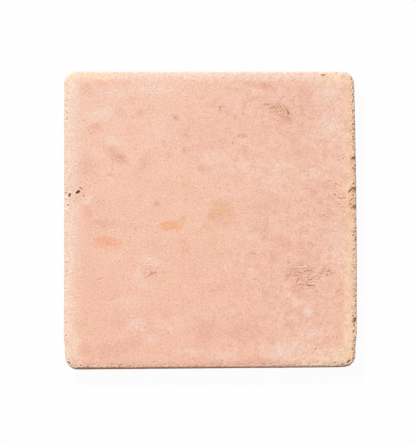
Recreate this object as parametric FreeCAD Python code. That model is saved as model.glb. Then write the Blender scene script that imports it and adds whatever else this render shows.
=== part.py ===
# Hand-pressed terracotta floor tile: one fired slab of clay, laid flat with its wearing face up.
# The slab is slightly out of square. Its flat field falls away to a soft cushion along every edge,
# the arris below the cushion is worn to a different roundness on each side, and a few flakes have
# been knocked out of the edges.
# Millimetres. +Z is up, +Y is the back edge, and the origin is under the middle of the slab.
import FreeCAD
import Part
import math
import os

# Outline of the slab where it is widest
tile_width = 200.4  # along the front edge
tile_length = 204.1  # along the left edge
tile_thickness = 20.0
back_edge_shortfall = 1.6  # the back edge is this much shorter than the front one, at the right
right_edge_shortfall = 1.7  # the right edge is this much shorter than the left one, at the front
right_edge_bow = 0.85  # the middle of the right edge stands out this far
front_left_radius = 9.3
front_right_radius = 8.8
back_right_radius = 8.7
back_left_radius = 8.5
corner_wear = 0.5  # share of an outline's inset that its corner radius gives up, so worn corners are wide

# Wearing face: flat field, then the cushion, then the worn arris down to the side
front_cushion_width = 5.5
right_cushion_width = 6.0
back_cushion_width = 8.0
left_cushion_width = 8.0
front_cushion_slope = 12.0  # degrees, where the cushion meets the arris
right_cushion_slope = 12.0
back_cushion_slope = 18.0
left_cushion_slope = 18.0
front_arris_radius = 1.0
right_arris_radius = 1.8
back_arris_radius = 1.5
left_arris_radius = 1.9

# Side and underside
side_draft = 0.3  # the underside stands this much further in, so that the slab left its mould
underside_arris_radius = 0.9

# Flat bands that each rounded stretch of the section is made of
cushion_bands = 8
arris_bands = 8
underside_bands = 3

# Flakes knocked out of the worn edges. Each is the side it lies on, how far along that side from the
# middle of the slab towards +X or +Y, how far in over the wearing face it starts, how far down from
# there it leaves the side, and the radius of its hollow.
flakes = [
    ("left", 16.9, 4.4, 2.9, 2.0),
    ("back", 74.6, 2.6, 2.4, 3.2),
    ("back", 87.6, 3.3, 2.5, 1.8),
    ("right", 40.6, 3.6, 3.5, 2.0),
    ("right", 19.3, 5.0, 4.1, 2.2),
    ("right", 7.0, 4.0, 3.8, 1.7),
    ("right", -70.5, 3.6, 3.7, 3.4),
    ("front", -84.0, 2.0, 1.9, 2.8),
]

UP = FreeCAD.Vector(0, 0, 1)
SIDES = ("front", "right", "back", "left")
EDGE_BOW = {"front": 0.0, "right": right_edge_bow, "back": 0.0, "left": 0.0}
CUSHION_WIDTH = {
    "front": front_cushion_width,
    "right": right_cushion_width,
    "back": back_cushion_width,
    "left": left_cushion_width,
}
CUSHION_SLOPE = {
    "front": math.radians(front_cushion_slope),
    "right": math.radians(right_cushion_slope),
    "back": math.radians(back_cushion_slope),
    "left": math.radians(left_cushion_slope),
}
ARRIS_RADIUS = {
    "front": front_arris_radius,
    "right": right_arris_radius,
    "back": back_arris_radius,
    "left": left_arris_radius,
}
# Each corner is named for the side that starts there, going round anticlockwise from the front left
CORNER_RADIUS = {
    "front": front_left_radius,
    "right": front_right_radius,
    "back": back_right_radius,
    "left": back_left_radius,
}


def corner_points():
    """The slab's four sharp corners, each where the side of that name starts."""
    right = tile_width / 2
    back = tile_length / 2
    return {
        "front": FreeCAD.Vector(-right, -back, 0),
        "right": FreeCAD.Vector(right, right_edge_shortfall - back, 0),
        "back": FreeCAD.Vector(right - back_edge_shortfall, back, 0),
        "left": FreeCAD.Vector(-right, back, 0),
    }


def direction(side):
    """Unit vector along a side, going round the slab anticlockwise."""
    corners = corner_points()
    following = SIDES[(SIDES.index(side) + 1) % len(SIDES)]
    return (corners[following] - corners[side]).normalize()


def inward(side):
    """Unit vector from a side towards the middle of the slab."""
    return UP.cross(direction(side))


def cushion_radius(side):
    """Radius of the arc that leads from the flat field down to a side's arris."""
    sine = math.sin(CUSHION_SLOPE[side])
    return (CUSHION_WIDTH[side] - ARRIS_RADIUS[side] * (1 - sine)) / sine


def arris_centre_height(side):
    """Height of the centre that a side's arris is rounded about."""
    cosine = math.cos(CUSHION_SLOPE[side])
    cushion_foot = tile_thickness - cushion_radius(side) * (1 - cosine)
    return cushion_foot - ARRIS_RADIUS[side] * cosine


def section(side):
    """Points up a side's section, each as inset and height, from the underside to the flat field."""
    slope = CUSHION_SLOPE[side]
    points = []
    for band in range(underside_bands + 1):
        lean = math.pi / 2 * (1 - band / underside_bands)
        inset = side_draft + underside_arris_radius * (1 - math.cos(lean))
        points.append((inset, underside_arris_radius * (1 - math.sin(lean))))
    for band in range(arris_bands + 1):
        lean = (math.pi / 2 - slope) * band / arris_bands
        inset = ARRIS_RADIUS[side] * (1 - math.cos(lean))
        points.append((inset, arris_centre_height(side) + ARRIS_RADIUS[side] * math.sin(lean)))
    for band in range(1, cushion_bands + 1):
        lean = slope * (1 - band / cushion_bands)
        inset = CUSHION_WIDTH[side] - cushion_radius(side) * math.sin(lean)
        points.append((inset, tile_thickness - cushion_radius(side) * (1 - math.cos(lean))))
    return points


def sharp_corner(side, insets):
    """Where a side starts, before rounding, once it and the side before it have moved in."""
    before = SIDES[SIDES.index(side) - 1]
    along = direction(side)
    past = inward(before)
    start = corner_points()[side] + inward(side) * insets[side]
    return start + along * ((insets[before] - inward(side).dot(past) * insets[side]) / along.dot(past))


def corner_arc(side, insets, heights):
    """Start, middle and end of the rounded corner that leads into a side."""
    before = SIDES[SIDES.index(side) - 1]
    radius = CORNER_RADIUS[side] - corner_wear * (insets[side] + insets[before]) / 2
    to_next = direction(side)
    to_last = direction(before) * -1
    half_angle = to_next.getAngle(to_last) / 2
    run = radius / math.tan(half_angle)
    point = sharp_corner(side, insets)
    bisector = (to_next + to_last).normalize()
    start = point + to_last * run + UP * heights[before]
    middle = point + bisector * (radius / math.sin(half_angle) - radius)
    middle += UP * ((heights[before] + heights[side]) / 2)
    end = point + to_next * run + UP * heights[side]
    return start, middle, end


def outline(insets, heights):
    """A closed line round the slab, with each side at its own inset and height."""
    corners = [corner_arc(side, insets, heights) for side in SIDES]
    edges = []
    for number, side in enumerate(SIDES):
        start, nearest, end = corners[number]
        following = corners[(number + 1) % len(SIDES)][0]
        edges.append(Part.Arc(start, nearest, end).toShape())
        if EDGE_BOW[side]:
            crown = (end + following) / 2 - inward(side) * EDGE_BOW[side]
            edges.append(Part.Arc(end, crown, following).toShape())
        else:
            edges.append(Part.LineSegment(end, following).toShape())
    return Part.Wire(edges)


def slab():
    """The unbroken slab, ruled between outlines that follow each side's section."""
    sections = {side: section(side) for side in SIDES}
    outlines = []
    for level in range(len(sections["front"])):
        insets = {side: sections[side][level][0] for side in SIDES}
        heights = {side: sections[side][level][1] for side in SIDES}
        outlines.append(outline(insets, heights))
    return Part.makeLoft(outlines, True, True)


def worn_height(side, inset):
    """Height of the worn edge's surface at an inset from a side."""
    if inset >= CUSHION_WIDTH[side]:
        return tile_thickness
    cushion = cushion_radius(side)
    lean = math.asin((CUSHION_WIDTH[side] - inset) / cushion)
    if lean <= CUSHION_SLOPE[side]:
        return tile_thickness - cushion * (1 - math.cos(lean))
    arris = ARRIS_RADIUS[side]
    return arris_centre_height(side) + arris * math.cos(math.asin(1 - inset / arris))


def flake(side, along, reach, drop, radius):
    """The round bar that scoops a flake out of an edge, running down and out from the wearing face."""
    outward = inward(side) * -1
    run = direction(side)
    corner = corner_points()[side]
    middle = corner - run * corner.dot(run)
    towards_positive = 1 if side in ("front", "right") else -1
    bow = EDGE_BOW[side] * (1 - (2 * along / tile_length) ** 2)
    start = middle + run * (towards_positive * along) + outward * (bow - reach)
    start += UP * worn_height(side, reach)
    bed = outward * reach - UP * drop
    length = bed.Length
    bed.normalize()
    overrun = radius
    axis_start = start - bed * overrun + bed.cross(run) * radius
    return Part.makeCylinder(radius, length + 2 * overrun, axis_start, bed)


def floor_tile():
    """The whole tile, centred over the origin and standing on its underside."""
    body = slab()
    for lost in flakes:
        body = body.cut(flake(*lost))
    box = body.optimalBoundingBox(False)
    body.translate(FreeCAD.Vector(-box.Center.x, -box.Center.y, -box.ZMin))
    return body


os.makedirs("parts", exist_ok=True)
tile = floor_tile()
tile.exportStep("parts/floor_tile.step")
print("floor_tile", tile.optimalBoundingBox(False), "volume cm3", round(tile.Volume / 1000, 2))
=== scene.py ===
# One hand-pressed, unglazed terracotta floor tile, lying flat with its wearing face up.
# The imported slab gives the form. Its skin is made again here in fine faces, and carved: low waves from
# the press, sandy bumps, open pores, crumbled arrises, and the pinholes, gouges, creases and scaly
# patches of this tile, each in its own place. All lengths in this file are millimetres on the tile,
# with +X to the right and +Y to the back, unless a name says otherwise.
import math

import bmesh
import bpy
import numpy as np
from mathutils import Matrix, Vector, noise


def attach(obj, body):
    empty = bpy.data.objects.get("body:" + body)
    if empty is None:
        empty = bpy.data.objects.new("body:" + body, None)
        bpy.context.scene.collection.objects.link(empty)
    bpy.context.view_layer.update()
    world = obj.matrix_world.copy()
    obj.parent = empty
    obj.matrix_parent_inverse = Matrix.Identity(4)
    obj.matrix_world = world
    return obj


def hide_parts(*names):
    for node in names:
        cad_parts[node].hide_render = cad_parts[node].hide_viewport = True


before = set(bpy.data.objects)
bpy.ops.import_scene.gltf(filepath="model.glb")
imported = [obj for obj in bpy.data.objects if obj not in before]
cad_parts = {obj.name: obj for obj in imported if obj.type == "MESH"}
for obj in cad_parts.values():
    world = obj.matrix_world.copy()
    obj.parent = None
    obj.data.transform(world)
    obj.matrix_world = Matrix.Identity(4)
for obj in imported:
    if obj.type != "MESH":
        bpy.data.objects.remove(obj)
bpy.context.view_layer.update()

MM = 0.001

# The slab's outline where it is widest: each corner's place before rounding, and its radius
LEFT, RIGHT, FRONT, BACK = -100.3, 99.6, -102.0, 102.0
FACE_HEIGHT = 20.0
# Marks and spots of the wearing face reach down the worn edge to its foot
FACE_FOOT = FACE_HEIGHT - 6
CORNERS = {
    "front_left": ((-100.3, -102.0), 9.3),
    "front_right": ((100.1, -100.3), 8.8),
    "back_right": ((98.5, 102.0), 8.7),
    "back_left": ((-100.3, 102.0), 8.5),
}
RIGHT_BOW = 0.85

# Pinholes in the wearing face: x, y, depth
PINHOLES = [
    (-98, 92.3, 0.34), (-97.4, 95.6, 0.41), (-95, 90.8, 0.25), (-94.9, 98.4, 0.28), (-65.6, 100.6, 0.3),
    (-56.1, 100.6, 0.3), (-34.7, 97.1, 0.22), (-31.6, 93.9, 0.2), (-24.9, 94.9, 0.2),
    (-22.1, 95.2, 0.2), (-1, 98.4, 0.25), (2.6, 97.3, 0.25), (23.1, 99.7, 0.25), (33.3, 93.8, 0.2),
    (35, 89.7, 0.2), (54.4, 97.3, 0.2), (73.2, 92.1, 0.2), (80, 100.6, 0.35), (89.5, 99.5, 0.3),
    (-98, 81.9, 0.41), (-96.5, 86.3, 0.28), (-49.6, 82.1, 0.18), (95.4, 83.4, 0.3), (-98, 69.1, 0.38),
    (-95.8, 65.6, 0.28), (-91.7, 67.5, 0.2), (-89.8, 67.1, 0.2), (-82.8, 69, 0.2),
    (-56.9, 74, 0.18), (-47.9, 68.6, 0.18), (-46.4, 71, 0.18), (-43.3, 69.1, 0.15),
    (-36.6, 68.4, 0.15), (-29.4, 72.1, 0.15), (25.7, 70.8, 0.22), (28.1, 74.5, 0.2), (32.9, 70.3, 0.25),
    (35.5, 76.6, 0.25), (38.1, 67.3, 0.22), (57.1, 75.3, 0.2), (70.5, 69.1, 0.2), (72.5, 65.4, 0.2),
    (-82.6, 55, 0.2), (-29, 56.2, 0.18), (24.1, 56, 0.2), (32.2, 64.3, 0.2), (-98.2, 50.6, 0.41),
    (15.1, 52.5, 0.6), (26.8, 43.3, 0.2), (36.3, 42.3, 0.25), (-98.2, 39.6, 0.38), (-67.1, 38.2, 0.15),
    (25.9, 35.1, 0.2), (50.4, 37.6, 0.22), (62.3, 33.6, 0.2), (75.5, 32.7, 0.25), (-98, 21.9, 0.41),
    (-94.9, 23.2, 0.35), (-1.3, 24, 0.18), (65.3, 24.3, 0.22), (69, 18.3, 0.22), (76, 19.2, 0.25),
    (-99.3, 13.8, 0.41), (-91.5, 15.1, 0.25), (-29.9, 12.2, 0.28), (-25.2, 6.8, 0.2),
    (-10.5, 12.9, 0.18), (-9.4, 14.6, 0.15), (-97.6, 4.5, 0.41), (-26.6, 1.5, 0.2), (65.3, 4.9, 0.22),
    (79.7, 1.6, 0.2), (-80.7, -23.4, 0.18), (-70.9, -25.5, 0.22), (-29.7, -28.6, 0.4),
    (26.4, -20.8, 0.28), (26.5, -25.8, 0.25), (58.6, -26.6, 0.25), (85.4, -27.1, 0.25),
    (-34.8, -34.9, 0.25), (32.9, -42.4, 0.45), (48.6, -39.6, 0.25), (-98.7, -44.4, 0.24),
    (73.1, -52.7, 0.25), (85.4, -48.3, 0.22), (-55.6, -63, 0.18), (-57.9, -68.5, 0.18),
    (-48.9, -72.4, 0.25), (40.5, -72.5, 0.35), (-97.8, -84.2, 0.38), (-35.3, -92.9, 0.22),
    (-98, -9.3, 0.34), (-98.4, -16.2, 0.34), (-97.7, -23, 0.34), (-98.4, -29.2, 0.34),
    (-98, -35.3, 0.38), (-97.7, -49.7, 0.34), (-98.2, -55.8, 0.34), (-97.7, -62.7, 0.34),
    (-98, -70.2, 0.38),
]
PINHOLE_WIDTH = 1.3

# Gouges and bigger pits: x, y, length, width, turn in degrees anticlockwise, depth
GOUGES = [
    (9, 97.3, 1.4, 1.1, 0, 0.45), (82.6, 99.9, 2.4, 0.9, 0, 0.3), (91.2, 98.4, 1.4, 1.1, 0, 0.45),
    (96.6, 96.3, 1.6, 1.3, 0, 0.5), (-98.7, 87.8, 1.4, 1.1, 60, 0.4), (-36.2, 87.6, 1.3, 2, 0, 0.25),
    (-2.7, 80.6, 1.4, 1.1, 0, 0.18), (17.4, 89.1, 1.4, 1.1, 0, 0.22), (-98.2, 73.2, 1.5, 1.2, 70, 0.45),
    (6.8, 77.1, 1.9, 1.2, -20, 0.45), (48.1, 77.3, 1.4, 1.1, 0, 0.45), (49.4, 75.6, 1.4, 1.2, 0, 0.45),
    (54.4, 67.2, 1.5, 1.1, 0, 0.35), (94, 70.4, 1.4, 1.1, 0, 0.3), (11.1, 55, 1.4, 1.1, 0, 0.22),
    (70.1, 59.3, 1.5, 1.1, 0, 0.3), (-18.2, 48.4, 1.4, 1.1, 0, 0.18), (23.6, 44, 1.5, 1.2, 0, 0.2),
    (90.8, 41.7, 1.8, 1.4, 0, 0.5), (94, 50.6, 1.4, 1.1, 0, 0.3), (96.2, 39.7, 1.5, 1.1, 0, 0.35),
    (-90.4, 18.8, 4.4, 2.1, 35, 1.3), (-84.3, 26.9, 1.5, 1.2, 0, 0.4), (41.2, 21.6, 1.4, 0.9, -50, 0.3),
    (-97.3, 9.9, 2.4, 1.3, 45, 0.5), (-96.4, 16.7, 3.4, 1.8, 52, 1.1), (-95.8, 7.1, 1.5, 1, 40, 0.3),
    (-86.3, 16.1, 2, 1.2, -45, 0.6), (-20.1, 2.3, 1.6, 0.9, 10, 0.28),
    (46.9, -1.1, 1.6, 0.9, 0, 0.22), (82, 3.8, 1.5, 1.1, 30, 0.3), (83.9, 3, 1.4, 1, 30, 0.3),
    (-97.7, -10, 1.4, 1.2, 0, 0.18), (-98, -21, 1.4, 1, 0, 0.18), (-99, -38.5, 1.8, 1.6, 0, 0.25),
    (-43.5, -33.3, 1.3, 1, 0, 0.25), (-34.7, -34.7, 1.8, 0.9, 0, 0.22), (-30.6, -36, 1.9, 1, 30, 0.22),
    (-44.4, -39.8, 1.8, 1.2, 20, 0.45), (-42.6, -34.6, 1.4, 1.1, 0, 0.45),
    (-38.5, -33.1, 1.5, 0.9, 60, 0.25), (28.6, -37.4, 1.4, 1, 0, 0.2),
    (34.2, -33.1, 1.5, 1.1, 30, 0.22), (35.3, -32, 1.4, 1, 20, 0.25),
    (-67.7, -54.9, 1.6, 1, 45, 0.35), (-44.7, -74.6, 2.4, 2, 40, 0.2), (-98.6, -79.3, 2, 0.8, 0, 0.45),
    (-42.2, -79, 1.8, 1.6, 0, 0.28), (71.9, -88.6, 1.9, 1.5, 0, 0.5), (-38, -97.5, 1.9, 1.3, 0, 0.4),
    (-36.6, -90.9, 1.4, 1.1, 0, 0.4), (97.5, 85.7, 1.5, 1.2, 0, 0.3), (97.8, 81, 2.2, 1.6, 0, 0.3),
    (97.8, 74.7, 1.7, 1.4, 0, 0.5), (98, 65.4, 1.7, 1.4, 0, 0.5), (96, 61, 1.6, 1.3, 0, 0.45),
    (98, 57, 1.8, 1.4, 0, 0.55), (97.9, 49, 1.8, 1.4, 0, 0.5),
    (98, 35.4, 1.8, 1.5, 0, 0.55), (98, 32.3, 1.5, 1.2, 0, 0.4), (98, 24.8, 1.8, 1.4, 0, 0.45),
    (97.8, 3, 1.6, 1.2, 0, 0.4),
    (97.8, -10.7, 2, 1.2, 40, 0.45), (96.9, -38.3, 1.6, 1.2, 0, 0.3), (97.8, -66.1, 2, 1.6, 0, 0.55),
    (99, -69.4, 1.6, 1.3, 0, 0.4), (98.4, -72.2, 2.2, 1.6, 0, 0.6), (97.1, -88.5, 2.4, 1.6, 0, 0.5),
    (98, -89.6, 1.6, 1.3, 0, 0.4), (-96.6, -98.4, 3, 1.8, -45, 0.9), (-94.3, -100, 1.6, 1, 0, 0.5),
    (-88.4, -100.2, 1.8, 1, 20, 0.6), (-96.8, -95.9, 1.8, 0.9, 0, 0.4), (97.8, -76.9, 3, 1.4, 90, 0.5),
    (96.5, -82.6, 2.4, 0.9, 0, 0.35), (98.2, -83, 1.8, 1.5, 0, 0.4), (94.4, -97.4, 4, 1.5, 45, 0.6),
    (90.6, -99.5, 4, 1.2, 10, 0.5), (84.9, -98.4, 2, 1, 0, 0.4), (57.8, -99.8, 1.6, 0.9, 0, 0.5),
    (67.7, -99.8, 1.6, 0.9, 0, 0.5),
]

# Creases, where the clay folded or tore: width, depth, points along it
CREASES = [
    (1.1, 0.6, [(-89.7, 21.9), (-88.5, 21.7), (-87.3, 20.4)]),
    (0.9, 0.25, [(-50.9, 51.1), (-50.3, 49.7), (-50.7, 48.3), (-51.5, 47.1)]),
    (1, 0.3, [(36.4, 78.1), (38, 78.9), (40.3, 78.4)]),
    (0.9, 0.3, [(42.1, 77.7), (43.5, 76.9), (45, 76.4)]),
    (1, 0.35, [(47.6, 73.4), (48.5, 74), (49.3, 74.9)]),
    (1.2, 0.6, [(52.2, 75.5), (53.2, 74.2), (53.4, 72.7), (53, 71.4)]),
    (0.9, 0.25, [(44.3, 73.4), (45.2, 73.1), (46, 73.5)]),
    (0.9, 0.18, [(22.4, 92.8), (24.7, 93.3), (26.9, 92.9), (29, 93.2)]),
    (0.9, 0.15, [(60.1, 70.5), (61.1, 69.4), (61.5, 67.7)]),
    (1, 0.42, [(80.1, 26.9), (81.3, 26.4), (82.4, 26.6)]),
    (1, 0.38, [(84.6, 24.4), (86.1, 24.6), (87.6, 23.5), (90.2, 22.6)]),
    (1, 0.42, [(84.2, 17.6), (85.3, 17), (86.5, 15.9)]),
    (1, 0.38, [(87.1, 15.3), (89, 14.3), (90.9, 14.8), (93.2, 13.9)]),
    (1, 0.36, [(86.3, 9.9), (88.2, 10.5), (90.1, 10.9)]),
    (1.1, 0.55, [(93.9, 18), (95.4, 19.4), (96.8, 20.3)]),
    (1.1, 0.45, [(95.4, 12.5), (97.2, 14.3)]),
    (1.1, 0.45, [(94.7, 9.7), (96.9, 10.7)]),
    (0.9, 0.2, [(61.2, -9.6), (64, -10.3), (67.4, -9.9), (69.4, -9.1)]),
    (0.9, 0.25, [(82.8, -7.3), (83.5, -8.4), (83, -9.5)]),
    (1, 0.35, [(52.8, -38.6), (54.3, -37.8), (55.9, -37.2)]),
    (1.1, 0.5, [(60, -36.4), (61.7, -36)]),
    (1.1, 0.45, [(64.7, -35.7), (66.7, -35.2), (69.2, -35.5)]),
    (0.9, 0.3, [(61.4, -39.1), (62.9, -38.9)]),
    (1, 0.4, [(59.1, -42.6), (60.1, -41.5), (61, -40.2)]),
    (1, 0.4, [(67.7, -41.6), (68.9, -41.1), (70.3, -40.7)]),
    (1.1, 0.45, [(65.1, -44.9), (67.4, -45.6), (69.4, -45.2), (71.6, -45.5)]),
    (1, 0.35, [(60.4, -44.7), (61.8, -44.3), (63.2, -44.6)]),
    (0.9, 0.25, [(53.9, -30.3), (55.6, -29.9), (57.3, -30.1)]),
    (0.9, 0.25, [(60.3, -32.2), (61.9, -31.6), (64, -31.9)]),
    (1.1, 0.45, [(74.6, -37.2), (76.9, -37)]),
    (1.1, 0.4, [(79.4, -35.7), (80.9, -35.2), (82.4, -35.5)]),
    (0.9, 0.25, [(76.6, -33.8), (77.9, -33.5)]),
    (1, 0.35, [(78.5, -37.5), (79.8, -38.2), (81, -38)]),
    (0.9, 0.25, [(26.5, -22.6), (27.8, -23.7), (29.4, -24.1), (31.4, -23.4)]),
    (0.9, 0.2, [(77.6, -94.1), (79, -93.6), (80.2, -93.3)]),
    (1.1, 0.35, [(-43.6, -39.3), (-41.7, -38.6), (-40, -37.1), (-38.3, -37), (-36.4, -35.6)]),
    (1, 0.3, [(-41.6, -33.7), (-40.7, -35.6), (-40, -37.1), (-39.6, -38.3)]),
    (1, 0.3, [(-78.1, -41.6), (-75.9, -41.1), (-73.7, -40.5), (-71.6, -40)]),
    (1.2, 0.6, [(75.9, 99.6), (77.4, 99.1), (78.9, 99.6)]),
    (0.9, 0.2, [(-49.5, -43.3), (-47.4, -43.8), (-44.8, -44.1)]),
    (1, 0.3, [(52.4, -29.2), (54, -30.5)]),
    (0.9, 0.25, [(-83.7, -98.6), (-80.2, -99.3), (-76.8, -99)]),
    (0.9, 0.25, [(-68.6, -98.2), (-66.6, -99.4), (-64.2, -99.2)]),
    (1, 0.4, [(-62.1, -100), (-60.4, -99.3)]),
]

# Sides worn back where they near a corner: x, y, how far the wear reaches along the side, its depth
WORN_SIDES = [(100.5, -90.5, 13.0, 0.8), (-100.3, -92.5, 13.0, 0.9), (92.0, -100.6, 9.0, 0.5)]
# The arris at the front right corner, worn down to a rough bevel: x, y, reach, depth at the edge
WORN_CORNER = (97.0, -98.5, 9.0, 0.5)
BEVEL_WIDTH = 4.2
# The palest wear lies this far inside the outline
EDGE_WIDTH = 1.6
# How crumbled each side's arris is, and how wide the crumbled rim is
CRUMBLED = {"left": 0.6, "right": 1.2, "front": 0.7, "back": 0.3}
RIM_WIDTH = 2.2

# Patches where the face is scaly and torn: x, y, length, width, turn, roughness from 0 to 1
SCALY_PATCHES = [
    (64, -39.1, 27, 19, -20, 1.0),
    (80, -36.1, 12, 8, 0, 0.9),
    (47, 74.4, 22, 10, -25, 0.9),
    (88, 19.4, 20, 34, 0, 0.35),
    (80, 4.4, 14, 14, 0, 0.4),
    (-41, -36.6, 14, 8, 20, 0.6),
    (-43, -75.6, 20, 16, 0, 0.4),
    (-92, 16.4, 14, 12, 20, 0.6),
    (36, 91.4, 26, 6, 0, 0.35),
    (40, -25.6, 34, 8, 0, 0.3),
    (8, 3.4, 26, 18, 0, 0.35),
    (-70, -14.6, 16, 8, 0, 0.35),
]

# Spots of colour on the wearing face: x, y, length, width, turn, strength from 0 to 1
ROSY_SPOTS = [
    (-78.9, 63.1, 10.9, 7.5, 20, 0.8), (-66.6, 46, 12.3, 8.2, -35, 0.75),
    (-61.1, 73.4, 15, 8.2, -45, 0.4), (-53.6, 63.8, 5.5, 5.5, 0, 0.4), (-46.1, 37.8, 20.5, 7.5, 62, 0.6),
    (-48.8, 15.3, 6.2, 6.8, 0, 0.4), (-78.9, 28.2, 6.8, 4.8, 0, 0.3), (-83.7, 5, 8.2, 12.3, 0, 0.6),
    (-6.4, 83.3, 4.1, 2.7, 0, 0.9), (-13.9, 78.1, 4.1, 3.4, 0, 0.45), (-11.9, 66.5, 5.5, 3.4, 0, 0.6),
    (-16, 56.3, 13.7, 4.1, -60, 0.45), (-3.7, 49.4, 23.2, 6.8, 0, 0.4), (5.2, 54.2, 9.6, 10.9, 0, 0.4),
    (11.3, 90.4, 5.5, 3.4, 0, 0.6), (17.5, 89.1, 4.1, 2.7, 0, 0.7), (38, 91.1, 16.4, 5.5, -20, 0.85),
    (25.7, 81.6, 6.8, 6.2, 0, 0.5), (35.3, 78.8, 4.1, 6.2, 0, 0.6), (10.7, 73.4, 9.6, 2.7, -25, 0.7),
    (20.2, 67.2, 3.4, 9.6, 0, 0.4), (9.3, 54.9, 6.8, 4.1, 0, 0.6), (55.1, 59, 20.5, 13.7, -35, 0.55),
    (64, 84.3, 17.8, 21.9, 0, 0.5), (59.9, 44.6, 17.8, 8.2, 0, 0.55), (49.6, 52.8, 4.1, 9.6, 0, 0.4),
    (54.4, 73.4, 61.5, 57.4, 0, 0.3), (1.1, 65.2, 61.5, 41, 0, 0.22), (22.3, -76.3, 27.3, 16.4, 0, 0.65),
    (10, -76.3, 10.9, 10.9, 0, 0.3), (-85.7, -89.3, 12.3, 9.6, 0, 0.6),
    (-67.3, -89.3, 27.3, 12.3, 8, 0.75), (-50.9, -83.9, 15, 8.2, 20, 0.65),
    (-63.2, -70.2, 24.6, 10.9, 0, 0.35), (-80.9, -48.3, 17.8, 47.8, 0, 0.15),
    (-29, -64.7, 12.3, 6.8, -50, 0.55), (-3, -75.6, 17.8, 27.3, 0, 0.4),
    (-20.1, -14.8, 10.9, 3.4, -10, 0.55), (-37.9, -17.6, 9.6, 13.7, 0, 0.35),
    (33.9, -8, 16.4, 6.8, -35, 0.55), (47.6, -14.1, 20.5, 7.5, -22, 0.6),
    (59.2, -18.2, 17.8, 8.2, 0, 0.5), (44.2, -25.1, 16.4, 6.8, 60, 0.55),
    (7.9, -46.9, 15, 10.9, 0, 0.35), (20.2, -44.9, 9.6, 13.7, 0, 0.3), (57.8, 0.2, 12.3, 5.5, 0, 0.45),
    (83.8, 3, 6.2, 4.1, 0, 0.5), (75.6, 12.5, 6.8, 10.9, 0, 0.4), (73.5, 22.8, 24.6, 9.6, 0, 0.35),
    (64, -68.8, 8.2, 5.5, 0, 0.4), (54.4, -72.9, 6.8, 6.8, 0, 0.35), (59.9, -49.7, 9.6, 9.6, 0, 0.6),
    (-60.4, 95.9, 13.7, 4.1, 0, 0.4), (-12.6, -36, 12.3, 20.5, 0, 0.25),
    (-75.5, 9.8, 15, 13.7, 0, 0.35), (60, -37, 24, 14, -22, 0.3), (-93, -88, 10, 12, 0, 0.3),
]
PALE_SPOTS = [
    (-74.8, 72.7, 20.5, 8.9, 10, 0.85), (-66.6, 53.5, 15, 5.5, -5, 0.8),
    (-63.2, 87, 20.5, 9.6, 0, 0.5), (-39.9, 89.8, 41, 9.6, 0, 0.6), (-78.9, 44, 12.3, 8.2, 0, 0.35),
    (-83.7, 13.2, 10.3, 5.5, 20, 0.85), (1.1, 41.9, 21.9, 8.2, 0, 0.5), (20.2, 36.4, 17.8, 6.8, 0, 0.4),
    (45.5, 36.4, 13.7, 8.2, 60, 0.5), (43.5, 24.1, 13.7, 8.2, 0, 0.4), (81.7, 85.7, 17.8, 15, 0, 0.7),
    (82.4, 63.8, 17.8, 20.5, 0, 0.75), (67.4, 54.2, 9.6, 7.5, 0, 0.4),
    (20.2, -12.1, 24.6, 13.7, -22, 0.1), (36, -22.3, 9.6, 5.5, 0, 0.45),
    (-39.9, -29.2, 23.2, 8.2, -10, 0.5), (-48.8, -38.7, 9.6, 12.3, 0, 0.6),
    (-44.7, -45.6, 15, 4.8, -5, 0.4), (-49.5, -72.2, 15, 10.3, -10, 0.5),
    (-41.3, -81.8, 10.3, 8.9, 0, 0.5), (-33.8, -71.5, 15, 9.6, 0, 0.3),
    (-20.8, -70.9, 8.2, 8.2, 0, 0.35), (-26.9, -75.6, 5.5, 5.5, 0, 0.55), (-55, -56.5, 21.9, 8.2, 0, 0.35),
    (66, -63.3, 7.5, 7.5, 0, 0.9), (57.8, -55.1, 17.8, 5.5, -45, 0.4),
    (70.1, -77.7, 21.9, 10.9, 0, 0.55), (51.7, -89.3, 35.5, 15, 10, 0.7),
    (35.3, -87.3, 8.2, 5.5, 0, 0.5), (-13.9, -90.7, 20.5, 6.2, 0, 0.5), (7.9, -92.7, 27.3, 8.2, 0, 0.4),
    (-89.1, -94.1, 7.5, 5.5, 0, 0.5), (-63.8, -25.1, 10.9, 5.5, 0, 0.4), (-29, -8.7, 61.5, 41, 0, 0.05),
    (-34.4, 62.4, 9.6, 20.5, 0, 0.3), (68.1, 30, 14, 9, 10, 0.5), (77, -90, 12, 8, 0, 0.4),
    (-3, -64, 22, 12, 0, 0.3), (86, -18, 14, 50, 0, 0.35), (92, -60, 8, 30, 0, 0.2),
    # The last spot, on the torn patch at x 66, is painted light against the shade of that patch's relief
    (66, -39, 24, 14, -20, 0.25),
]
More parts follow.
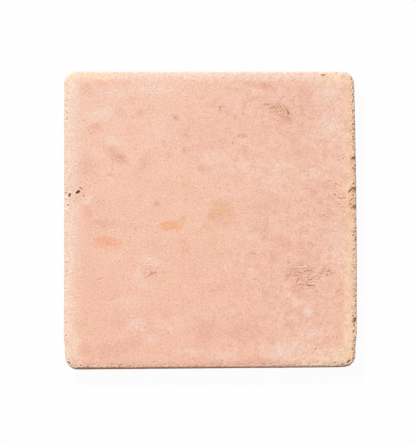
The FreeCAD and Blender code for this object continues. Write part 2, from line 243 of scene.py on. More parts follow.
MAUVE_SPOTS = [
    (-23.5, 70.6, 4.8, 4.1, 0, 0.8), (-18, 48.1, 4.1, 3.4, 0, 0.7), (-5.1, 34.4, 6.2, 6.2, 0, 0.55),
    (-61.8, 41.9, 9.6, 6.8, -20, 0.9), (-86.4, 36.4, 17.8, 21.9, 0, 0.35), (-36.5, 9.8, 5.5, 4.8, 0, 0.6),
    (-31.7, 53.5, 4.1, 3.4, 0, 0.6), (-68.6, 31, 6.8, 3.4, 0, 0.5), (-72.7, -3.2, 23.2, 8.2, 0, 0.4),
    (-80.2, 80.2, 16.4, 3.4, 5, 0.1), (-47.4, 73.4, 5.5, 4.8, 0, 0.65), (52.4, 68.6, 9.6, 4.8, 0, 0.8),
    (7.2, 76.8, 4.1, 4.1, 0, 0.9), (-16.7, -21, 8.2, 6.2, 0, 0.4), (24.3, 48.1, 6.8, 6.2, 0, 0.45),
    (69.4, 18.7, 6.8, 8.2, 0, 0.4), (53, -31.2, 13.7, 7.5, -25, 0.15), (50.3, 75.4, 15, 6.8, -30, 0.15),
    (73.5, 9.8, 27.3, 27.3, 0, 0.1), (32.5, -96.8, 15, 4.8, 0, 0.5), (-28.3, 44, 6.8, 4.8, 0, 0.4),
    (-71.4, -54.5, 5.5, 3.4, 0, 0.4), (21.6, 57.6, 6.2, 4.1, 0, 0.7), (68.1, -24.4, 13.7, 8.2, 0, 0.1),
    (76.3, -10.7, 16.4, 20.5, 0, 0.1), (-3.7, -75.6, 13.7, 20.5, 0, 0.2),
]
ORANGE_BLOOMS = [
    (-27.2, -4.1, 17.1, 8.0, 3, 1), (-21, -1.2, 7.5, 4.4, 25, 0.7),
]
PEACH_SPOTS = [
    (-70.7, -15.8, 19.1, 9.6, -3, 0.8), (-50.2, -5.9, 4.8, 3.4, 0, 0.9), (35.3, -33.3, 5.5, 4.8, 0, 0.3),
    (81.7, 45.7, 16, 5.5, 34, 0.4), (-9.2, -38.7, 6.8, 3.4, 15, 0.6), (89.6, -51, 4.1, 30.1, 0, 0.4),
    (44.2, 65.8, 9.6, 4.8, 0, 0.2), (-74.8, 94.5, 8.2, 8.2, 0, 0.35), (-39.2, -37.7, 6.2, 3.4, 0, 0.5),
    (42.1, -72.2, 5.5, 5.5, 0, 0.3),
]
TAN_SPOTS = [
    (8.3, 6.6, 16, 14, 0, 0.85), (48, 76, 17, 9, -25, 0.45), (95.5, 9.5, 8, 24, 0, 0.5),
    (1.8, 1.6, 9.6, 8.2, 0, 0.75), (-3.7, -5.2, 10.9, 6.8, 0, 0.55),
    (1.8, -15.5, 8.2, 12.3, 0, 0.35), (-32.4, -36, 6.2, 2.1, 10, 0.8), (-86.4, 90.4, 10.9, 10.9, 0, 0.5),
    (-87.8, -70.9, 8.2, 9.6, 0, 0.35), (-10.5, 16.6, 15, 9.6, 0, 0.3), (40.7, 9.8, 41, 12.3, 0, 0.3),
    (1.1, 78.8, 6.8, 5.5, 0, 0.35), (21.6, 28.2, 9.6, 6.8, 0, 0.25), (-44.7, 73.4, 16.4, 13.7, 0, 0.2),
    (25, 45, 17, 9, 0, 0.35), (24, 96, 24, 8, 0, 0.3), (-25, 22, 70, 14, 0, 0.22), (11, -3, 26, 14, 0, 0.2),
    (-14, -20, 44, 26, 0, 0.15), (-93, 21, 10, 16, 0, 0.25),
]
CREAM_SPOTS = [
    (88.6, -92.1, 17.8, 13.7, 0, 0.7), (76.3, -95.5, 30.1, 6.8, 0, 0.6),
    (87.9, 96.6, 19.1, 5.5, -10, 0.7), (94.7, -79.1, 8.2, 41, 0, 0.5), (65.3, -95.5, 41, 8.2, 0, 0.35),
    (-75.5, 98, 30, 5, 0, 0.6), (-91.9, -85.2, 5.5, 16.4, 0, 0.5), (-95, 92.4, 9, 16, 0, 0.5),
    (-98.5, 49.4, 4, 90, 0, 0.1), (-98.5, -50.6, 4, 90, 0, 0.1), (92, 22, 11, 11, 0, 0.5),
    # The long spot along the front edge, at x 75, is partly its cream and partly painted light that lifts
    # the shade on that edge
    (94, -35, 8, 62, 0, 0.35), (75, -99.5, 34, 5, 0, 0.8), (78, 95, 20, 8, 0, 0.3),
]

# Relief of the whole skin
WAVE_HEIGHT, WAVE_LENGTH = 0.3, 22.0
BUMP_HEIGHT, BUMP_LENGTH = 0.14, 3.2
CRUMBLE_DEPTH, CRUMBLE_LENGTH = 0.7, 1.3
PORE_SPACING, PORE_WIDTH, PORE_DEPTH = 5.5, 1.2, 0.28
# The skin is lowered by at least this much everywhere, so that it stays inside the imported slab's box
LEAST_DEPTH = 0.03
# Relief of the torn patches. Noise is squeezed by the run, so tears go mostly along X and straight down.
TEAR_DEPTH, TEAR_WIDTH, PLATE_HEIGHT = 0.22, 1.6, 0.08
TEAR_RUN = (0.5, 1.0, 0.0)
# Lips pushed up round the marks: share of the mark's depth, then middle and spread in its half widths
PIT_LIP = (0.35, 1.3, 0.3)
CREASE_LIP = (0.25, 1.5, 0.45)
# Relief that is only drawn by the material, because it is finer than the mesh
FINE_PORE_SPACING, FINE_RELIEF = 2.8, 0.16

# Faces: a place is marked past these, and keeps all its faces. Elsewhere the thinning goes by plainness.
MARKED_DEPTH, MARKED_SHARE = 0.02, 0.5
HIDDEN_PLAINNESS, SHOWN_PLAINNESS = 0.8, 0.1
PLAINNESS_FACTOR = 20.0

# The sky gives this share of the light on the face, and the lamp the rest. The paper's own glow gives
# this share of what the camera sees of it, so that it looks white and still keeps a faint shadow.
SKY_SHARE = 0.22
PAPER_GLOW = 0.965

# The soft spots' tables, by the name that the material knows them by
SOFT_SPOTS = {
    "rosy": ROSY_SPOTS,
    "pale": PALE_SPOTS,
    "mauve": MAUVE_SPOTS,
    "tan": TAN_SPOTS,
    "peach": PEACH_SPOTS,
    "cream": CREAM_SPOTS,
}
# The colours of those that mottle the ground, in this order
MOTTLE = {"rosy": "#eab09b", "pale": "#f5d3c1", "mauve": "#e1a48f", "tan": "#ebb58e", "peach": "#f2ab88"}
# Spots start to show at the first share of their half size, and reach their own strength at the second
SPOT_FADE = (1.45, 0.1)
PATCH_FADE = (1.2, 0.6)


def linear(code):
    """The linear colour, with alpha, of an sRGB hex code."""
    parts = [int(code[i : i + 2], 16) / 255 for i in (1, 3, 5)]
    return [p / 12.92 if p <= 0.04045 else ((p + 0.055) / 1.055) ** 2.4 for p in parts] + [1.0]


def add(tree, kind, inputs=(), **settings):
    """Adds a node with its settings, and sets each of its inputs or links it to a node or an output."""
    node = tree.nodes.new(kind)
    for name, value in settings.items():
        setattr(node, name, value)
    for name, value in dict(inputs).items():
        if isinstance(name, int):
            socket = node.inputs[name]
        else:
            socket = next(s for s in node.inputs if s.name == name and s.enabled)
        if isinstance(value, bpy.types.Node):
            value = next(s for s in value.outputs if s.enabled)
        if isinstance(value, bpy.types.NodeSocket):
            tree.links.new(value, socket)
        else:
            socket.default_value = value
    return node


def skin(source, grain):
    """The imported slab's surface as one closed mesh of even faces, each about a grain wide."""
    mesh = source.data.copy()
    cleaned = bmesh.new()
    cleaned.from_mesh(mesh)
    bmesh.ops.remove_doubles(cleaned, verts=cleaned.verts, dist=0.001 * MM)
    cleaned.to_mesh(mesh)
    cleaned.free()
    slab = bpy.data.objects.new("slab", mesh)
    bpy.context.scene.collection.objects.link(slab)
    slab.modifiers.new("even_faces", "REMESH").voxel_size = grain * MM
    evaluated = slab.evaluated_get(bpy.context.evaluated_depsgraph_get())
    result = bpy.data.meshes.new_from_object(evaluated)
    bpy.data.objects.remove(slab)
    result.materials.clear()
    return result


def side_distances(x, y):
    """How far each point lies inside the left, right, front and back edges."""
    names = ("front_left", "front_right", "back_right", "back_left")
    distances = {}
    for side, first, second in zip(("front", "right", "back", "left"), names, names[1:] + names[:1]):
        start, end = (np.array(CORNERS[name][0]) for name in (first, second))
        run = (end - start) / np.linalg.norm(end - start)
        distances[side] = run[0] * (y - start[1]) - run[1] * (x - start[0])
    distances["right"] += RIGHT_BOW * (1 - (y / BACK) ** 2)
    return distances


def inset(distances):
    """How far each point lies inside the rounded outline."""
    nearest = np.minimum.reduce(list(distances.values()))
    for name, (_, radius) in CORNERS.items():
        ends, flanks = name.split("_")
        a = radius - distances[ends]
        b = radius - distances[flanks]
        rounded = radius - np.hypot(a, b)
        nearest = np.where((a > 0) & (b > 0), rounded, nearest)
    return nearest


def ragged(points, length):
    """Even, seeded noise from -1 to 1 at each point, with lumps of about this length."""
    return np.array([noise.noise(Vector(p) / length) for p in points])


def off_centre(x, y, px, py, length, width, turn):
    """How far each point is from a spot's middle, as 1 on the spot's oval outline."""
    angle = math.radians(turn)
    along = (x - px) * math.cos(angle) + (y - py) * math.sin(angle)
    across = (y - py) * math.cos(angle) - (x - px) * math.sin(angle)
    return np.hypot(along / (length / 2), across / (width / 2))


def off_line(points, line):
    """How far each point is from a line, and its place along the line from 0 to 1."""
    away = np.full(len(points), np.inf)
    place = np.zeros(len(points))
    for number, (start, end) in enumerate(zip(line[:-1], line[1:])):
        run = end - start
        share = np.clip((points - start) @ run / (run @ run), 0, 1)
        here = np.linalg.norm(points - start - share[:, None] * run, axis=1)
        place = np.where(here < away, (number + share) / (len(line) - 1), place)
        away = np.minimum(away, here)
    return away, place


def mark(depth, lip, near, away, deep, lip_form):
    """Hollows a mark out of the points near it, and raises its lip. Away is 1 on the mark's outline."""
    share, middle, spread = lip_form
    depth[near] = np.maximum(depth[near], deep * np.clip(1 - away**2, 0, 1))
    lip[near] = np.maximum(lip[near], share * deep * np.exp(-(((away - middle) / spread) ** 2)))


def carve(points):
    """Depth at each point of this tile's marks. It is below nothing where a mark's lip stands up."""
    x, y, z = points.T
    depth = np.zeros(len(points))
    lip = np.zeros(len(points))
    face = z > FACE_FOOT
    round_pits = [(px, py, PINHOLE_WIDTH, PINHOLE_WIDTH, 0, deep) for px, py, deep in PINHOLES]
    for px, py, length, width, turn, deep in round_pits + GOUGES:
        near = np.flatnonzero(face & (np.hypot(x - px, y - py) < length * 1.4))
        away = off_centre(x[near], y[near], px, py, length, width, turn)
        away *= 1 + 0.35 * ragged(points[near], 0.8)
        mark(depth, lip, near, away, deep, PIT_LIP)
    for width, deep, line in CREASES:
        line = np.array(line)
        middle = line.mean(0)
        reach = np.abs(line - middle).max() + 2 * width
        near = np.flatnonzero(face & (np.hypot(x - middle[0], y - middle[1]) < reach * 1.3))
        away, place = off_line(points[near][:, :2], line)
        half = width / 2 * (0.6 + 0.4 * np.sin(np.pi * np.clip(place, 0.02, 0.98)))
        away = away / half * (1 + 0.4 * ragged(points[near], 0.9))
        mark(depth, lip, near, away, deep, CREASE_LIP)
    return depth - lip * (depth <= 0)


def wear(points):
    """Depth at each point of the smooth wear at the front corners."""
    x, y, z = points.T
    from_edge = inset(side_distances(x, y))
    bevel = np.clip(1 - from_edge / (BEVEL_WIDTH * (1 + 0.25 * ragged(points, 3.0))), 0, 1)
    bevel *= z > FACE_FOOT
    px, py, reach, deep = WORN_CORNER
    near = np.clip(1 - np.hypot(x - px, y - py) / reach, 0, 1)
    worn = deep * np.sqrt(near) * bevel
    for px, py, reach, deep in WORN_SIDES:
        away = np.clip(np.hypot(x - px, y - py) / reach, 0, 1)
        worn = np.maximum(worn, deep * (1 - away**2) ** 2 * np.clip(1.5 - from_edge / 2, 0, 1))
    return worn


def spotted(points, table, fade):
    """Strength at each point of a table of spots with ragged outlines."""
    x, y, z = points.T
    start, end = fade
    stray, lump = 2.2, 5.0
    x = x + stray * ragged(points, lump)
    y = y + stray * ragged(points + (0, 0, 50), lump)
    total = np.zeros(len(points))
    for px, py, length, width, turn, strength in table:
        away = off_centre(x, y, px, py, length, width, turn)
        share = np.clip((away - start) / (end - start), 0, 1)
        total = np.maximum(total, strength * share**2 * (3 - 2 * share))
    return total * np.clip((z - FACE_FOOT) / 3, 0, 1)


def crumbliness(points):
    """How crumbled the worn arris is at each point, blended between the sides round the corners."""
    x, y, z = points.T
    distances = side_distances(x, y)
    share = {side: np.exp(-distances[side] / 4) for side in CRUMBLED}
    total = sum(share.values())
    strength = sum(CRUMBLED[side] * share[side] for side in CRUMBLED) / np.maximum(total, 1e-9)
    rim = np.exp(-(((inset(distances) - 0.6) / RIM_WIDTH) ** 2))
    return strength * rim * np.clip((z - 16.5) / 2, 0, 1)


def pale_edge(points):
    """How near each point is to the very edge of the face, where the wear is palest, from 0 to 1."""
    x, y, z = points.T
    distances = side_distances(x, y)
    near = np.clip(1.3 - inset(distances) / EDGE_WIDTH, 0, 1)
    duller_left = np.clip(0.3 + distances["left"] / 8, 0, 1)
    duller_front = np.clip(distances["front"] / 8 + (x / 85) ** 2, 0.15, 1)
    return near * duller_left * duller_front * np.clip((z - 15.5) / 2, 0, 1)


def relief_tree(finish):
    """Nodes that lower a skin by waves, bumps, tears, pores and crumbled arrises, never raising it."""
    tree = bpy.data.node_groups.new("press_and_wear", "GeometryNodeTree")
    sizes = {
        "Wave Height": WAVE_HEIGHT,
        "Wave Length": WAVE_LENGTH,
        "Bump Height": BUMP_HEIGHT,
        "Bump Length": BUMP_LENGTH,
        "Tear Depth": TEAR_DEPTH,
        "Tear Width": TEAR_WIDTH,
        "Plate Height": PLATE_HEIGHT,
        "Crumble Depth": CRUMBLE_DEPTH,
        "Crumble Length": CRUMBLE_LENGTH,
        "Pore Spacing": PORE_SPACING,
        "Pore Width": PORE_WIDTH,
        "Pore Depth": PORE_DEPTH,
    }
    declare = tree.interface.new_socket
    declare("Skin", in_out="INPUT", socket_type="NodeSocketGeometry")
    for name, size in sizes.items():
        declare(name, in_out="INPUT", socket_type="NodeSocketFloat").default_value = size
    declare("Seed", in_out="INPUT", socket_type="NodeSocketInt").default_value = 7
    declare("Skin", in_out="OUTPUT", socket_type="NodeSocketGeometry")
    given = add(tree, "NodeGroupInput").outputs

    position = add(tree, "GeometryNodeInputPosition")
    place = add(tree, "ShaderNodeVectorMath", {0: position, "Scale": 1 / MM}, operation="SCALE")
    worn, carved, scaly, crumbly, bedded = (
        add(tree, "GeometryNodeInputNamedAttribute", {"Name": name}, data_type="FLOAT")
        for name in ("worn", "carved", "scaly", "crumbly", "bedded")
    )

    def maths(operation, *values):
        return add(tree, "ShaderNodeMath", dict(enumerate(values)), operation=operation)

    def lumps(length, detail, where=place, distortion=0.0):
        """Noise from 0 to 1 with lumps of a length in millimetres."""
        per_mm = maths("DIVIDE", 1.0, length)
        inputs = {"Vector": where, "Scale": per_mm, "Detail": detail, "Distortion": distortion}
        return add(tree, "ShaderNodeTexNoise", inputs)

    def step(value, start, end):
        """A soft step from 0 at start to 1 at end."""
        inputs = {"Value": value, "From Min": start, "From Max": end}
        return add(tree, "ShaderNodeMapRange", inputs, interpolation_type="SMOOTHSTEP")

    wave = maths("MULTIPLY", lumps(given["Wave Length"], 1.0), given["Wave Height"])
    bump = maths("MULTIPLY", lumps(given["Bump Length"], 3.0), given["Bump Height"])

    # Torn skin: narrow tears that run mostly along X, and low plates of different heights between them
    along = add(tree, "ShaderNodeVectorMath", {0: place, 1: TEAR_RUN}, operation="MULTIPLY")
    fold = lumps(given["Tear Width"], 1.0, along, 0.8)
    fold = maths("ABSOLUTE", maths("SUBTRACT", fold, 0.5))
    tear = maths("MULTIPLY", step(fold, 0.1, 0.0), given["Tear Depth"])
    tear = maths("MULTIPLY", tear, scaly)
    plate = step(lumps(given["Tear Width"], 1.0, along, 0.4), 0.42, 0.62)
    plate = maths("MULTIPLY", maths("MULTIPLY", plate, given["Plate Height"]), scaly)

    # Crumbled arris: grains lost from it
    lost = step(lumps(given["Crumble Length"], 2.0), 0.48, 0.62)
    crumble = maths("MULTIPLY", maths("MULTIPLY", lost, crumbly), given["Crumble Depth"])

    # Pores: scattered no nearer than their spacing, each with its own width
    inputs = {
        "Mesh": given["Skin"],
        "Distance Min": maths("MULTIPLY", given["Pore Spacing"], MM),
        "Density Max": 120000.0,  # for each square metre, far more than the spacing leaves
        "Seed": given["Seed"],
    }
    pores = add(tree, "GeometryNodeDistributePointsOnFaces", inputs, distribute_method="POISSON")
    pore = add(tree, "GeometryNodeSampleNearest", {"Geometry": pores}, domain="POINT")
    inputs = {"Min": 0.35, "Max": 1.0, "ID": pore, "Seed": 3}
    size = add(tree, "FunctionNodeRandomValue", inputs, data_type="FLOAT")
    away = add(tree, "GeometryNodeProximity", {0: pores}, target_element="POINTS").outputs["Distance"]
    half = maths("MULTIPLY", maths("MULTIPLY", size, given["Pore Width"]), MM / 2)
    hole = maths("MULTIPLY", step(away, half, 0.0), maths("MULTIPLY", size, given["Pore Depth"]))

    marks = maths("ADD", maths("ADD", carved, hole), crumble)
    depth = maths("ADD", maths("ADD", wave, bump), maths("ADD", worn, marks))
    depth = maths("ADD", depth, maths("ADD", tear, plate))
    depth = maths("MAXIMUM", depth, LEAST_DEPTH)
    lower = maths("MULTIPLY", maths("MULTIPLY", depth, bedded), -MM)
    inputs = {0: add(tree, "GeometryNodeInputNormal"), "Scale": lower}
    offset = add(tree, "ShaderNodeVectorMath", inputs, operation="SCALE")

    # The material darkens hollows by this depth, as the redder body and painted shade. Crumbled places
    # count half, since they are worn pale.
    hollow = maths("MULTIPLY_ADD", crumble, -0.5, marks)
    inputs = {"Geometry": given["Skin"], "Name": "hollow", "Value": hollow}
    noted = add(tree, "GeometryNodeStoreNamedAttribute", inputs, data_type="FLOAT", domain="POINT")
    moved = add(tree, "GeometryNodeSetPosition", {"Geometry": noted, "Offset": offset})
    real = add(tree, "GeometryNodeRealizeInstances", {"Geometry": moved})
    dressed = add(tree, "GeometryNodeSetMaterial", {"Geometry": real, "Material": finish})
    add(tree, "NodeGroupOutput", {"Skin": dressed})
    return tree


def fired_clay():
    """Unglazed terracotta, pressed in a sanded mould, dried and kiln-fired: a matt, open, earthy skin.
    Its pink-buff face is mottled, goes paler and creamier at the edges where salts came out in drying,
    and has orange blooms where the fire caught it. Pits and torn places are darker: the redder body, and
    painted shade."""
    clay = bpy.data.materials.new("unglazed_terracotta")
    clay.use_nodes = True
    tree = clay.node_tree
    tree.nodes.clear()

    def maths(operation, *values):
        return add(tree, "ShaderNodeMath", dict(enumerate(values)), operation=operation)

    def vectors(operation, *values):
        return add(tree, "ShaderNodeVectorMath", dict(enumerate(values)), operation=operation)

    at = add(tree, "ShaderNodeTexCoord").outputs["Object"]
    place = vectors("MULTIPLY", at, (1 / MM, 1 / MM, 1 / MM))
    drift = add(tree, "ShaderNodeTexNoise", {"Vector": place, "Scale": 1 / 5, "Detail": 3.0})
    drift = vectors("SUBTRACT", drift.outputs["Color"], (0.5, 0.5, 0.5))
    loose = vectors("MULTIPLY_ADD", drift, (9.0, 9.0, 0.0), place)
    where = add(tree, "ShaderNodeSeparateXYZ", {0: loose}).outputs
    exact = add(tree, "ShaderNodeSeparateXYZ", {0: place}).outputs
    height = exact["Z"]

    def lumps(length, detail, seed, distortion=0.0):
        """Noise with lumps of a length in millimetres, its own for each seed."""
        moved = vectors("ADD", place, (0.0, 0.0, 100.0 * seed))
        inputs = {"Vector": moved, "Scale": 1 / length, "Detail": detail, "Distortion": distortion}
        return add(tree, "ShaderNodeTexNoise", inputs).outputs[0]

    def tint(colour, code, amount):
        """The colour so far, turned towards another by an amount."""
        inputs = {"Factor": amount, "A": colour, "B": linear(code)}
        return add(tree, "ShaderNodeMix", inputs, data_type="RGBA")

    def band(value, start, end, strength=1.0):
        """A soft step from 0 at start to a strength at end."""
        inputs = {"Value": value, "From Min": start, "From Max": end, "To Max": strength}
        return add(tree, "ShaderNodeMapRange", inputs, interpolation_type="SMOOTHSTEP")

    def ridges(length, seed):
        """Thin lines that wander over lumps of a length in millimetres."""
        return band(maths("ABSOLUTE", maths("SUBTRACT", lumps(length, 2.0, seed, 0.9), 0.5)), 0.045, 0.0)

    on_face = band(height, FACE_FOOT, FACE_FOOT + 3)

    def spots(name):
        """Strength of a colour's soft spots, from the mesh, broken up by a finer mottle."""
        strength = add(tree, "ShaderNodeAttribute", attribute_name=name).outputs["Fac"]
        broken = maths("ADD", band(lumps(3.5, 2.0, 13), 0.35, 0.65, 0.3), 0.85)
        return maths("MULTIPLY", strength, broken)

    def bloom(x, y, length, width, turn, strength):
        """Strength of a spot with a hard, ragged outline."""
        inputs = {
            "Vector": loose,
            "Location": (x, y, 0),
            "Rotation": (0, 0, math.radians(turn)),
            "Scale": (length / 2, width / 2, 1e4),
        }
        local = add(tree, "ShaderNodeMapping", inputs, vector_type="TEXTURE")
        inside = maths("MULTIPLY", band(vectors("LENGTH", local), 1.15, 0.75, strength), on_face)
        return maths("MULTIPLY", inside, maths("ADD", band(lumps(2.5, 2.0, 14), 0.3, 0.7, 0.5), 0.6))

    # Ground colour: paler towards the back of the tile, and mottled
    inputs = {"Factor": band(where["Y"], -110, 110), "A": linear("#f3bea6"), "B": linear("#f6c6b0")}
    colour = add(tree, "ShaderNodeMix", inputs, data_type="RGBA")
    for code, length, seed in (("#e6a997", 14, 1), ("#f6d2c0", 12, 2), ("#e9bb99", 17, 3)):
        colour = tint(colour, code, band(lumps(length, 2.0, seed), 0.5, 0.75, 0.16))
    for name, code in MOTTLE.items():
        colour = tint(colour, code, spots(name))
    for place_and_size in ORANGE_BLOOMS:
        colour = tint(colour, "#f1b288", bloom(*place_and_size))

    # Pale salts along the edges, widest on the left and more orange on the right
    leaning = maths("MULTIPLY_ADD", where["Y"], -0.02, where["X"])
    patchy = maths("ADD", band(lumps(16, 1.0, 18), 0.4, 0.6, 0.25), 0.7)
    salted = maths("MULTIPLY", band(leaning, LEFT + 15, LEFT + 3), patchy)
    colour = tint(colour, "#f1d3bf", salted)
    colour = tint(colour, "#f0d3bf", band(where["Y"], BACK - 9, BACK - 2, 0.75))
    colour = tint(colour, "#fbd2ac", band(where["X"], RIGHT - 11, RIGHT - 3, 0.55))
    rim = band(add(tree, "ShaderNodeAttribute", attribute_name="edge").outputs["Fac"], 0.1, 0.9, 0.85)
    colour = tint(colour, "#f3dfc9", rim)
    colour = tint(colour, "#fbdbb9", spots("cream"))

    # Flakes in the right edge: the warmer body they bare, and painted warm shade in them
    flake_body_and_shade = maths("MULTIPLY", band(height, 18.8, 17.4, 0.6), band(exact["X"], RIGHT - 9, RIGHT - 6))
    colour = tint(colour, "#d9935f", flake_body_and_shade)

    # Sides and underside: sanded in the mould, browner and duller, and partly darkened as painted shade,
    # most of all at the front
    colour = tint(colour, "#bf8661", band(height, 16.4, 14.2, 0.9))
    # The extra dark brown on the front side alone is painted shade, for the side that faces away from the
    # key
    colour = tint(colour, "#a2623c", band(exact["Y"], FRONT + 1.5, FRONT + 0.4, 0.6))

    # Wrinkles of the pressed skin, deepest where it dried last, on the right. The darker tint along their
    # folds is painted shade.
    rightward = maths("ADD", band(where["X"], -80, 60, 0.5), 0.3)
    wrinkled = maths("MULTIPLY", band(lumps(5, 2.0, 15), 0.35, 0.65), rightward)
    folds = maths("MAXIMUM", ridges(3.4, 12), ridges(1.7, 16))
    wrinkle = maths("MULTIPLY", folds, wrinkled)
    colour = tint(colour, "#c98f76", maths("MULTIPLY", wrinkle, 0.25))

    # Tears of the scaly patches: the relief's own pattern, sharper than its faces can hold it. Their
    # red-brown tint is partly the redder body, partly painted shade.
    scaly = add(tree, "ShaderNodeAttribute", attribute_name="scaly").outputs["Fac"]
    inputs = {"Vector": vectors("MULTIPLY", place, TEAR_RUN), "Scale": 1 / TEAR_WIDTH, "Detail": 1.0}
    tear = add(tree, "ShaderNodeTexNoise", {**inputs, "Distortion": 0.8})
    tear = band(maths("ABSOLUTE", maths("SUBTRACT", tear, 0.5)), 0.1, 0.0)
    tear = maths("MULTIPLY", tear, scaly)
    colour = tint(colour, "#d07055", maths("MULTIPLY", tear, 0.3))

    # Grain, drawn coarser than the real clay's so that it shows: darker grains are a little richer too
    light = maths("MULTIPLY", maths("SUBTRACT", lumps(0.85, 1.0, 4), 0.5), 0.8)
    light = maths("MULTIPLY_ADD", maths("SUBTRACT", lumps(2.0, 2.0, 5), 0.5), 0.2, light)
    coarse = maths("ADD", band(lumps(5, 2.0, 17), 0.35, 0.65, 0.6), 0.6)
    light = maths("MULTIPLY_ADD", light, coarse, 0.5)
    inputs = {"Factor": light, "A": (0.72, 0.46, 0.37, 1), "B": (1.29, 1.58, 1.68, 1)}
    grains = add(tree, "ShaderNodeMix", inputs, data_type="RGBA")
    inputs = {"Factor": 1.0, "A": colour, "B": grains}
    colour = add(tree, "ShaderNodeMix", inputs, data_type="RGBA", blend_type="MULTIPLY")

    # Fine open pores, and the darker body in them and in every hollow, deepened by painted shade
    moved = vectors("ADD", place, (0.0, 0.0, 7.0))
    pore = add(tree, "ShaderNodeTexVoronoi", {"Vector": moved, "Scale": 1 / FINE_PORE_SPACING}).outputs
    chance = add(tree, "ShaderNodeSeparateColor", {0: pore["Color"]}).outputs["Red"]
    open_here = maths("MULTIPLY", band(pore["Distance"], 0.2, 0.08), band(chance, 0.6, 1.0))
    colour = tint(colour, "#9a5c45", maths("MULTIPLY", open_here, 0.6))
    hollow = add(tree, "ShaderNodeAttribute", attribute_name="hollow").outputs["Fac"]
    # Pale cream on the raised lips round the marks is a painted highlight
    colour = tint(colour, "#fbe0c6", band(hollow, -0.01, -0.12, 0.6))
    colour = tint(colour, "#a8654a", band(hollow, 0.08, 0.45, 0.85))
    colour = tint(colour, "#6f4433", band(hollow, 0.35, 1.1, 0.85))

    # Relief too fine for the mesh: grain, hairline creases and the same fine pores
    grain = maths("MULTIPLY", lumps(1.5, 3.0, 9), 0.9)
    grain = maths("MULTIPLY_ADD", lumps(0.6, 2.0, 10), 0.3, grain)
    grain = maths("MULTIPLY_ADD", wrinkle, -0.5, grain)
    grain = maths("MULTIPLY_ADD", tear, -0.7, grain)
    grain = maths("MULTIPLY_ADD", open_here, -0.5, grain)
    rise = maths("ADD", band(height, 16.5, 14.0, 1.2), maths("ADD", band(where["X"], -60, 60, 0.4), 0.8))
    inputs = {"Height": maths("MULTIPLY", grain, rise), "Distance": FINE_RELIEF * MM}
    bump = add(tree, "ShaderNodeBump", inputs)
    dull = maths("ADD", band(lumps(3, 2.0, 11), 0.3, 0.7, 0.12), 0.84)
    inputs = {"Base Color": colour, "Roughness": dull, "Normal": bump, "Specular IOR Level": 0.3}
    surface = add(tree, "ShaderNodeBsdfPrincipled", inputs)
    add(tree, "ShaderNodeOutputMaterial", {"Surface": surface})
    return clay


def points_of(mesh):
    """The mesh's points, one row of millimetres each."""
    points = np.empty(len(mesh.vertices) * 3)
    mesh.vertices.foreach_get("co", points)
    return points.reshape(-1, 3) / MM


def store(mesh, fields):
    """Stores each named field on the mesh, as a value for each point."""
    for name, values in fields.items():
        field = mesh.attributes.new(name, "FLOAT", "POINT")
        field.data.foreach_set("value", values.astype(np.float32))


def unwrap(mesh):
    """A map named OFBake: the wearing face biggest, then the underside, then the four sides."""
    points = points_of(mesh)
    corners = np.empty(len(mesh.loops), np.int32)
    mesh.loops.foreach_get("vertex_index", corners)
    triangles = corners.reshape(-1, 3)
    middle = points[triangles].mean(1)
    up = np.repeat(middle[:, 2] > 16.6, 3)
    down = np.repeat(middle[:, 2] < 0.75, 3)
    distances = side_distances(middle[:, 0], middle[:, 1])
    sides = ("front", "right", "back", "left")
    nearest = np.repeat(np.argmin([distances[side] for side in sides], axis=0), 3)
    x, y, z = points[corners].T
    across = np.where(nearest % 2 == 0, x, y)
    span = 206.0
    face_share, under_share = 0.70, 0.28
    u = np.where(up, (x / span + 0.5) * face_share, (across / span + 0.5) * face_share)
    v = np.where(up, (y / span + 0.5) * face_share, 0.715 + nearest * 0.0715 + z / span * face_share)
    u = np.where(down, 0.71 + (x / span + 0.5) * under_share, u)
    v = np.where(down, (y / span + 0.5) * under_share, v)
    layer = mesh.uv_layers.new(name="OFBake")
    layer.uv.foreach_set("vector", np.column_stack([u, v]).astype(np.float32).ravel())


def fired_tile(grain, most_faces):
    """The finished tile: the slab's skin, carved and worn, with no more faces than asked."""
    mesh = skin(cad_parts["floor_tile"], grain)
    points = points_of(mesh)
    # What the relief reads. It fades towards the flat underside, by the last of these.
    fields = {
        "worn": wear(points),
        "carved": carve(points),
        "scaly": spotted(points, SCALY_PATCHES, PATCH_FADE),
        "crumbly": crumbliness(points),
        "bedded": np.clip(points[:, 2] / 1.5, 0.15, 1),
    }
    store(mesh, fields)
    tile = bpy.data.objects.new("fired_tile", mesh)
    bpy.context.scene.collection.objects.link(tile)
    relief = tile.modifiers.new("press_and_wear", "NODES")
    relief.node_group = relief_tree(fired_clay())
    # Marked places keep all their faces, plain ones on the wearing face most, and the lower half few
    marked = (fields["scaly"] > MARKED_SHARE) | (fields["crumbly"] > MARKED_SHARE)
    marked |= np.abs(fields["carved"]) > MARKED_DEPTH
    upper = points[:, 2] >= FACE_HEIGHT / 2
    plainness = tile.vertex_groups.new(name="plainness")
    plainness.add(np.flatnonzero(~upper).tolist(), HIDDEN_PLAINNESS, "REPLACE")
    plainness.add(np.flatnonzero(upper & ~marked).tolist(), SHOWN_PLAINNESS, "REPLACE")
    thinned = tile.modifiers.new("fewer_faces", "DECIMATE")
    thinned.ratio = min(1.0, most_faces / (2 * len(mesh.polygons)))
    thinned.use_collapse_triangulate = True
    thinned.vertex_group = plainness.name
    thinned.vertex_group_factor = PLAINNESS_FACTOR
    evaluated = tile.evaluated_get(bpy.context.evaluated_depsgraph_get())
    plain = bpy.data.meshes.new_from_object(evaluated)
    tile.modifiers.clear()
    tile.data = plain
    bpy.data.meshes.remove(mesh)
    plain.name = "fired_tile"
    for name in fields:
        plain.attributes.remove(plain.attributes[name])
    # What the material reads, besides the hollow depth that the relief stored
    points = points_of(plain)
    shares = {name: spotted(points, table, SPOT_FADE) for name, table in SOFT_SPOTS.items()}
    shares["edge"] = pale_edge(points)
    shares["scaly"] = spotted(points, SCALY_PATCHES, PATCH_FADE)
    store(plain, shares)
    for face in plain.polygons:
        face.use_smooth = True
    unwrap(plain)
    return tile


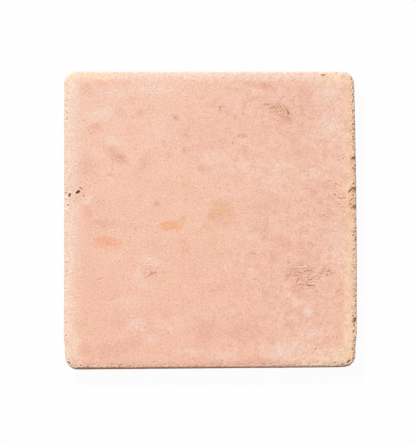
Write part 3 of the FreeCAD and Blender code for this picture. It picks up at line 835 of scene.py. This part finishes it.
def studio():
    """A white floor that keeps a faint shadow, a soft key from the back left, and an even pale sky."""

    def seen(tree):
        """1 for the rays that show a surface to the eye, directly, in gloss or through glass."""
        rays = add(tree, "ShaderNodeLightPath").outputs
        shown = {0: rays["Is Camera Ray"], 1: rays["Is Glossy Ray"]}
        shown = {0: add(tree, "ShaderNodeMath", shown, operation="MAXIMUM"), 1: rays["Is Transmission Ray"]}
        return add(tree, "ShaderNodeMath", shown, operation="MAXIMUM")

    white = bpy.data.materials.new("white_paper")
    white.use_nodes = True
    tree = white.node_tree
    tree.nodes.clear()
    share = add(tree, "ShaderNodeMath", {0: seen(tree), 1: PAPER_GLOW}, operation="MULTIPLY")
    paper = add(tree, "ShaderNodeBsdfDiffuse", {"Color": linear("#e6e6e6")})
    glow = add(tree, "ShaderNodeEmission", {"Color": (1, 1, 1, 1), "Strength": 1.0})
    both = add(tree, "ShaderNodeMixShader", {"Fac": share, 1: paper, 2: glow})
    add(tree, "ShaderNodeOutputMaterial", {"Surface": both})
    half = 3000.0 * MM
    corners = [(-half, -half, 0), (half, -half, 0), (half, half, 0), (-half, half, 0)]
    sheet = bpy.data.meshes.new("floor")
    sheet.from_pydata(corners, [], [(0, 1, 2, 3)])
    sheet.materials.append(white)
    floor = bpy.data.objects.new("floor", sheet)
    bpy.context.scene.collection.objects.link(floor)

    to_light = Vector((-0.32, 0.5, 0.82)).normalized()
    key = bpy.data.lights.new("key", "SUN")
    key.energy = (1 - SKY_SHARE) * math.pi / to_light.z
    key.angle = math.radians(8)
    lamp = bpy.data.objects.new("key", key)
    lamp.rotation_euler = to_light.to_track_quat("Z", "Y").to_euler()
    bpy.context.scene.collection.objects.link(lamp)

    world = bpy.data.worlds.new("studio")
    world.use_nodes = True
    tree = world.node_tree
    tree.nodes.clear()
    sky = add(tree, "ShaderNodeBackground", {"Color": (1, 1, 1, 1), "Strength": SKY_SHARE})
    backdrop = add(tree, "ShaderNodeBackground", {"Color": (1, 1, 1, 1), "Strength": 1.0})
    both = add(tree, "ShaderNodeMixShader", {"Fac": seen(tree), 1: sky, 2: backdrop})
    add(tree, "ShaderNodeOutputWorld", {"Surface": both})
    bpy.context.scene.world = world


def camera():
    """A long lens from almost straight above, leant towards the front so that the front side just shows."""
    distance, lean = 6000.0 * MM, math.radians(4.6)
    frame_width = 284.3 * MM
    target = Vector((-1.64, -1.40, FACE_HEIGHT)) * MM
    data = bpy.data.cameras.new("camera")
    data.sensor_fit = "HORIZONTAL"
    data.sensor_width = 36.0
    data.lens = data.sensor_width * distance / frame_width
    data.clip_end = 50.0
    eye = bpy.data.objects.new("camera", data)
    eye.location = target + distance * Vector((0, -math.sin(lean), math.cos(lean)))
    eye.rotation_euler = (lean, 0, 0)
    bpy.context.scene.collection.objects.link(eye)
    bpy.context.scene.camera = eye


tile = fired_tile(grain=0.42, most_faces=190000)
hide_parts("floor_tile")
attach(tile, "root")
studio()
camera()
bpy.context.scene.view_settings.view_transform = "Standard"
